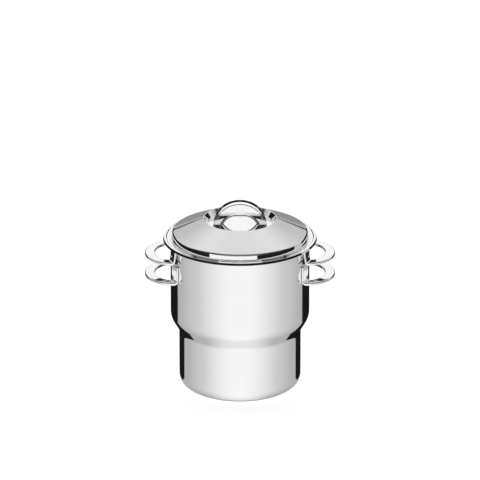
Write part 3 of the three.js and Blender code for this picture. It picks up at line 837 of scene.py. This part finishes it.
direction = add_node(tree, "ShaderNodeTexCoord", {}).outputs["Generated"]
parts = add_node(tree, "ShaderNodeSeparateXYZ", {"Vector": direction})
rise = add_node(tree, "ShaderNodeMath", {0: parts.outputs["Z"]}, operation="ARCSINE")
elevation = add_node(tree, "ShaderNodeMapRange", {
    "Value": rise.outputs["Value"], "From Min": -math.pi / 2, "From Max": math.pi / 2,
}).outputs["Result"]
level = add_node(tree, "ShaderNodeVectorMath", {0: direction, 1: (1, 1, 0)}, operation="MULTIPLY")
heading = add_node(tree, "ShaderNodeVectorMath", {0: level.outputs["Vector"]}, operation="NORMALIZE")
ahead = add_node(tree, "ShaderNodeSeparateXYZ", {"Vector": heading.outputs["Vector"]}).outputs["Y"]
backness = add_node(tree, "ShaderNodeMapRange", {
    "Value": ahead, "From Min": -1, "From Max": 1,
}).outputs["Result"]
front_stops = [(height_share(angle), tone) for angle, tone in FRONT_TONES]
back_stops = [(height_share(angle), tone) for angle, tone in BACK_TONES]
greys = []
for factor, tones in ((backness, GROUND_TONES), (elevation, front_stops), (elevation, back_stops)):
    ramp = add_node(tree, "ShaderNodeValToRGB", {"Fac": factor})
    stops = ramp.color_ramp.elements
    stops.remove(stops[1])
    for index, (share, tone) in enumerate(tones):
        stop = stops[0] if index == 0 else stops.new(share)
        stop.position = share
        stop.color = (tone, tone, tone, 1)
    greys.append(ramp.outputs["Color"])
ground_grey, front_grey, back_grey = greys
behind = add_node(tree, "ShaderNodeMapRange", {
    "Value": ahead, "From Min": FRONT_END, "From Max": BACK_START,
}).outputs["Result"]
walls = add_node(tree, "ShaderNodeMix", {
    "Factor": behind, "A": front_grey, "B": back_grey,
}, data_type="RGBA").outputs["Result"]
above = add_node(tree, "ShaderNodeMapRange", {
    "Value": elevation, "From Min": height_share(GROUND_END), "From Max": height_share(ROOM_START),
}).outputs["Result"]
steep = add_node(tree, "ShaderNodeMapRange", {
    "Value": elevation, "From Min": height_share(UNDERFOOT_END), "From Max": height_share(GROUND_START),
}).outputs["Result"]
ground = add_node(tree, "ShaderNodeMix", {
    "Factor": steep, "A": linear(UNDERFOOT_WHITE), "B": ground_grey,
}, data_type="RGBA").outputs["Result"]
room = add_node(tree, "ShaderNodeMix", {
    "Factor": above, "A": ground, "B": walls,
}, data_type="RGBA").outputs["Result"]
camera_ray = add_node(tree, "ShaderNodeLightPath", {}).outputs["Is Camera Ray"]
seen = add_node(tree, "ShaderNodeMix", {
    "Factor": camera_ray, "A": room, "B": linear(PLAIN_WHITE),
}, data_type="RGBA").outputs["Result"]
light = add_node(tree, "ShaderNodeBackground", {"Color": seen, "Strength": 1})
add_node(tree, "ShaderNodeOutputWorld", {"Surface": light.outputs["Background"]})

# Studio panels: a white window and lights in front of the pot, black panels with grey and white strips at
# its sides, a white panel behind, a dark ceiling over the camera and two black cloths on the table. Only the
# steel shows them. Azimuth is from the camera towards +X and elevation from the horizon, in degrees.
PANEL_REACH = 20
PANEL_STEP = 4


def add_card(name, shape, tone):
    """Makes a glowing card that only the reflections see."""
    mesh = bpy.data.meshes.new(name)
    shape.to_mesh(mesh)
    shape.free()
    card, tree = new_finish(name)
    glow = add_node(tree, "ShaderNodeEmission", {"Color": (tone, tone, tone, 1), "Strength": 1})
    add_node(tree, "ShaderNodeOutputMaterial", {"Surface": glow.outputs["Emission"]})
    mesh.materials.append(card)
    panel = bpy.data.objects.new(name, mesh)
    bpy.context.collection.objects.link(panel)
    panel.visible_camera = False
    panel.visible_diffuse = False
    panel.visible_shadow = False


def add_panel(name, azimuths, elevations, tone):
    """Part of a large sphere round the object between two azimuths and two elevations, in degrees."""
    columns = math.ceil((azimuths[1] - azimuths[0]) / PANEL_STEP)
    rows = math.ceil((elevations[1] - elevations[0]) / PANEL_STEP)
    shape = bmesh.new()
    grid = []
    for row in range(rows + 1):
        up = math.radians(elevations[0] + (elevations[1] - elevations[0]) * row / rows)
        line = []
        for column in range(columns + 1):
            about = math.radians(azimuths[0] + (azimuths[1] - azimuths[0]) * column / columns)
            way = (math.sin(about) * math.cos(up), -math.cos(about) * math.cos(up), math.sin(up))
            line.append(shape.verts.new(Vector(way) * PANEL_REACH))
        grid.append(line)
    for line, other in zip(grid, grid[1:]):
        for index in range(columns):
            shape.faces.new((line[index], line[index + 1], other[index + 1], other[index]))
    add_card(name, shape, tone)


BLACK = 0.01
DARK_GREY = 0.28
MID_GREY = 0.55
WHITE = 1.0
# Outline of the cloth on the right, in metres from the axis of the pot.
CLOTH_FRONT = [(0.12, 0), (0.235, 0.104), (0.32, 0.128), (0.507, 0.269), (1.025, 0.66)]
CLOTH_BACK = [(0.1, 0.66), (0.1, 0)]
for side, name in ((1, "black_cloth_right"), (-1, "black_cloth_left")):
    cloth = bmesh.new()
    cloth.faces.new([cloth.verts.new((side * x, y, 0)) for x, y in CLOTH_FRONT + CLOTH_BACK])
    add_card(name, cloth, BLACK)
add_panel("white_window", (-51, 28), (-13.5, 13.5), WHITE)
add_panel("white_front_light", (-40, 40), (33.5, 38), WHITE)
add_panel("low_front_light", (-2.5, 2.5), (20.3, 25), WHITE)
add_panel("grey_side_light", (102, 123), (-13.5, 6), MID_GREY)
add_panel("black_side_right", (123, 150), (-13.5, 18.5), BLACK)
add_panel("black_back_right", (150, 165), (-20, 14), BLACK)
add_panel("black_front_right", (84, 102), (-13.5, 18.5), BLACK)
add_panel("black_front_left", (-112, -84), (-13.5, 18.5), BLACK)
add_panel("black_side_left", (-150, -112), (-13.5, 18.5), BLACK)
add_panel("black_back_left", (-165, -150), (-20, 14), BLACK)
add_panel("grey_side_strip_right", (40, 84), (30, 37), DARK_GREY)
add_panel("grey_side_strip_left", (-84, -40), (30, 37), DARK_GREY)
add_panel("white_side_strip_right", (112, 142), (19, 27), WHITE)
add_panel("white_side_strip_left", (-142, -112), (19, 27), WHITE)
add_panel("white_back_panel", (166, 194), (16, 52), WHITE)
add_panel("grey_ceiling", (-42, 42), (50, 64), DARK_GREY)
add_panel("black_ceiling", (-70, 70), (64, 80), BLACK)

# Camera: a long lens far off, at the height from which the photograph was taken. It aims above the middle
# of the object, as the photograph does.
CAMERA_DISTANCE = 12
CAMERA_ELEVATION = math.radians(21)
CAMERA_LENS = 620.5
CAMERA_SENSOR = 36
AIM = Vector((0, 0, 0.223))
camera_data = bpy.data.cameras.new("camera")
camera_data.lens = CAMERA_LENS
camera_data.sensor_width = CAMERA_SENSOR
camera = bpy.data.objects.new("camera", camera_data)
bpy.context.collection.objects.link(camera)
towards_camera = Vector((0, -math.cos(CAMERA_ELEVATION), math.sin(CAMERA_ELEVATION)))
camera.location = AIM + towards_camera * CAMERA_DISTANCE
camera.rotation_euler = towards_camera.to_track_quat("Z", "Y").to_euler()
bpy.context.scene.camera = camera
bpy.context.scene.view_settings.view_transform = "Standard"
